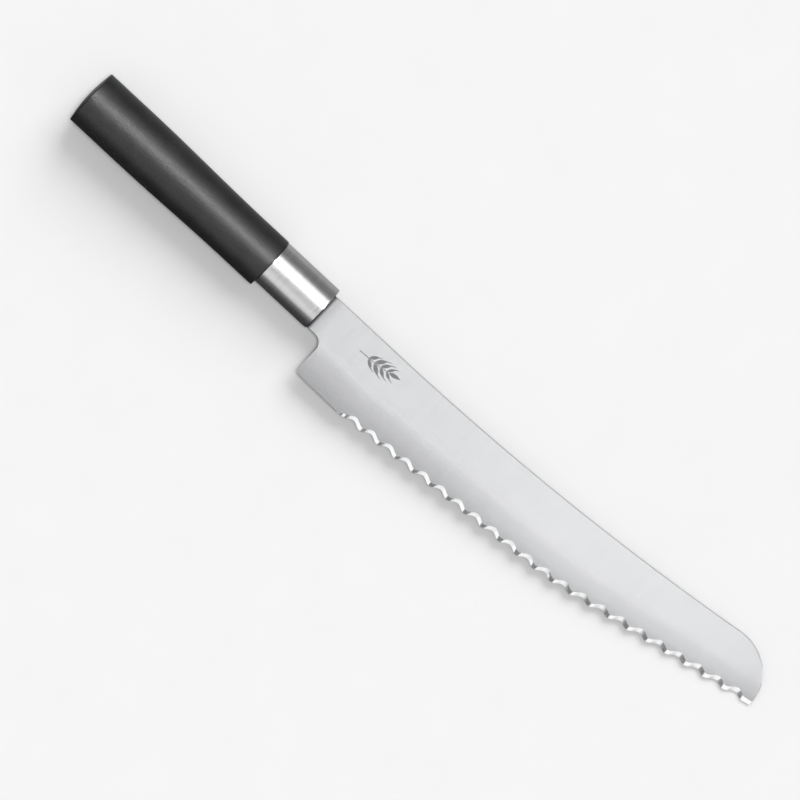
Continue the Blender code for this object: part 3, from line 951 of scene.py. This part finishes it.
def make_floor():
    """A tilted floor just under the front of the ferrule and the underside of the tip."""
    touch_x = FERRULE_FRONT_X - FERRULE_EDGE_RADIUS
    touch_z = FERRULE_BOX[0].z
    slope = (BLADE_BOX[0].z - touch_z) / (TIP_CONTACT_X - touch_x)
    bm = bmesh.new()
    bmesh.ops.create_grid(bm, x_segments=40, y_segments=40, size=FLOOR_SIZE / 2)
    for vertex in bm.verts:
        vertex.co.z = touch_z - FLOOR_GAP + slope * (vertex.co.x - touch_x)
    floor = object_from("floor", bm)
    floor.data.materials.append(pale_floor_finish())
    floor.visible_glossy = False


def soft_sun(name, angle, lean, spread, strength):
    """A distant soft light that lights the surfaces and casts shadows but isn't reflected."""
    light = bpy.data.lights.new(name, "SUN")
    light.angle = math.radians(spread)
    light.energy = strength
    lamp = bpy.data.objects.new(name, light)
    lamp.rotation_euler = (-math.radians(angle), -math.radians(lean), 0.0)
    lamp.visible_glossy = False
    bpy.context.scene.collection.objects.link(lamp)


def reflected_room(tree):
    """Soft boxes that run along the knife, by angle from straight up, dimmer towards their ends."""
    direction = add(tree, "ShaderNodeTexCoord").outputs["Generated"]
    parts = add(tree, "ShaderNodeSeparateXYZ", {"Vector": direction})
    angle = add(
        tree, "ShaderNodeMath", {0: parts.outputs["Y"], 1: parts.outputs["Z"]}, operation="ARCTAN2"
    ).outputs[0]
    share = remap(tree, angle, -math.pi, math.pi, 0.0, 1.0)
    bands = add(tree, "ShaderNodeValToRGB", {"Fac": share})
    ramp = bands.color_ramp
    ramp.interpolation = "EASE"
    while len(ramp.elements) < len(REFLECTED_BANDS):
        ramp.elements.new(0.5)
    for element, (degrees, radiance) in zip(ramp.elements, REFLECTED_BANDS):
        element.position = 0.5 + degrees / 360.0
        level = radiance / BRIGHTEST_BAND
        element.color = (level, level, level, 1.0)
    off_axis = absolute(tree, parts.outputs["X"])
    reach = remap(tree, off_axis, BOX_END_START, BOX_END_STOP, 1.0, BOX_END_DIMMING)
    strength = times(tree, times(tree, bands.outputs["Color"], reach), BRIGHTEST_BAND)
    return add(tree, "ShaderNodeBackground", {"Color": (1.0, 1.0, 1.0, 1.0), "Strength": strength})


def make_dark_card():
    """A dark card on the side of the cutting edge, seen only in reflections."""
    bm = bmesh.new()
    bmesh.ops.create_grid(bm, x_segments=8, y_segments=8, size=0.5)
    card = object_from("dark_card", bm)
    near, far = (math.radians(angle) for angle in CARD_ANGLES)
    middle = (near + far) / 2
    height = 2.0 * CARD_DISTANCE * math.tan(abs(far - near) / 2)
    edge_y = edge_line_y((CARD_X[0] + CARD_X[1]) / 2)
    card.scale = (CARD_X[1] - CARD_X[0], height, 1.0)
    card.rotation_euler = (-middle, 0.0, 0.0)
    card.location = (
        (CARD_X[0] + CARD_X[1]) / 2,
        edge_y + CARD_DISTANCE * math.sin(middle),
        MID_Z + CARD_DISTANCE * math.cos(middle),
    )
    card.visible_camera = False
    card.visible_diffuse = False
    card.visible_shadow = False
    card.data.materials.append(dark_card_felt())


def make_surround():
    """A dim room for the floor, soft boxes for reflections, and a pale backdrop for the camera."""
    world = bpy.data.worlds.new("surround")
    world.use_nodes = True
    world.cycles.sampling_method = "NONE"
    tree = world.node_tree
    tree.nodes.clear()
    white = (1.0, 1.0, 1.0, 1.0)
    room = add(tree, "ShaderNodeBackground", {"Color": white, "Strength": ROOM_RADIANCE})
    backdrop = add(tree, "ShaderNodeBackground", {"Color": white, "Strength": BACKDROP_RADIANCE})
    ray = add(tree, "ShaderNodeLightPath")
    lit = add(tree, "ShaderNodeMixShader", {
        0: ray.outputs["Is Glossy Ray"], 1: room.outputs[0], 2: reflected_room(tree).outputs[0],
    })
    mix = add(tree, "ShaderNodeMixShader", {
        0: ray.outputs["Is Camera Ray"], 1: lit.outputs[0], 2: backdrop.outputs[0],
    })
    add(tree, "ShaderNodeOutputWorld", {"Surface": mix.outputs[0]})
    bpy.context.scene.world = world


def make_camera():
    """A long lens looking down on the knife, which runs from upper left to lower right."""
    data = bpy.data.cameras.new("camera")
    data.lens = LENS
    data.sensor_width = SENSOR
    distance = VIEW_WIDTH * LENS / SENSOR
    data.clip_start = CLIP_START
    data.clip_end = 2.0 * distance
    towards_camera = Vector((-math.sin(VIEW_LEAN), 0.0, math.cos(VIEW_LEAN)))
    up = Vector((-math.sin(VIEW_TURN), math.cos(VIEW_TURN), 0.0))
    up = (up - towards_camera * up.dot(towards_camera)).normalized()
    right = up.cross(towards_camera)
    camera = bpy.data.objects.new("camera", data)
    rotation = Matrix((right, up, towards_camera)).transposed().to_4x4()
    camera.matrix_world = Matrix.Translation(VIEW_CENTRE + towards_camera * distance) @ rotation
    bpy.context.scene.collection.objects.link(camera)
    bpy.context.scene.camera = camera


make_camera()
make_surround()
soft_sun("key_light", KEY_ANGLE, KEY_LEAN, KEY_SPREAD, KEY_STRENGTH)
soft_sun("top_light", TOP_ANGLE, 0.0, TOP_SPREAD, TOP_STRENGTH)
make_dark_card()
make_floor()
make_blade()
make_ferrule()
make_neck_seal()
make_handle()
make_wheat_ear()
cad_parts["tang_bond"].data.materials[0] = cured_epoxy()
bpy.context.scene.view_settings.view_transform = "Standard"
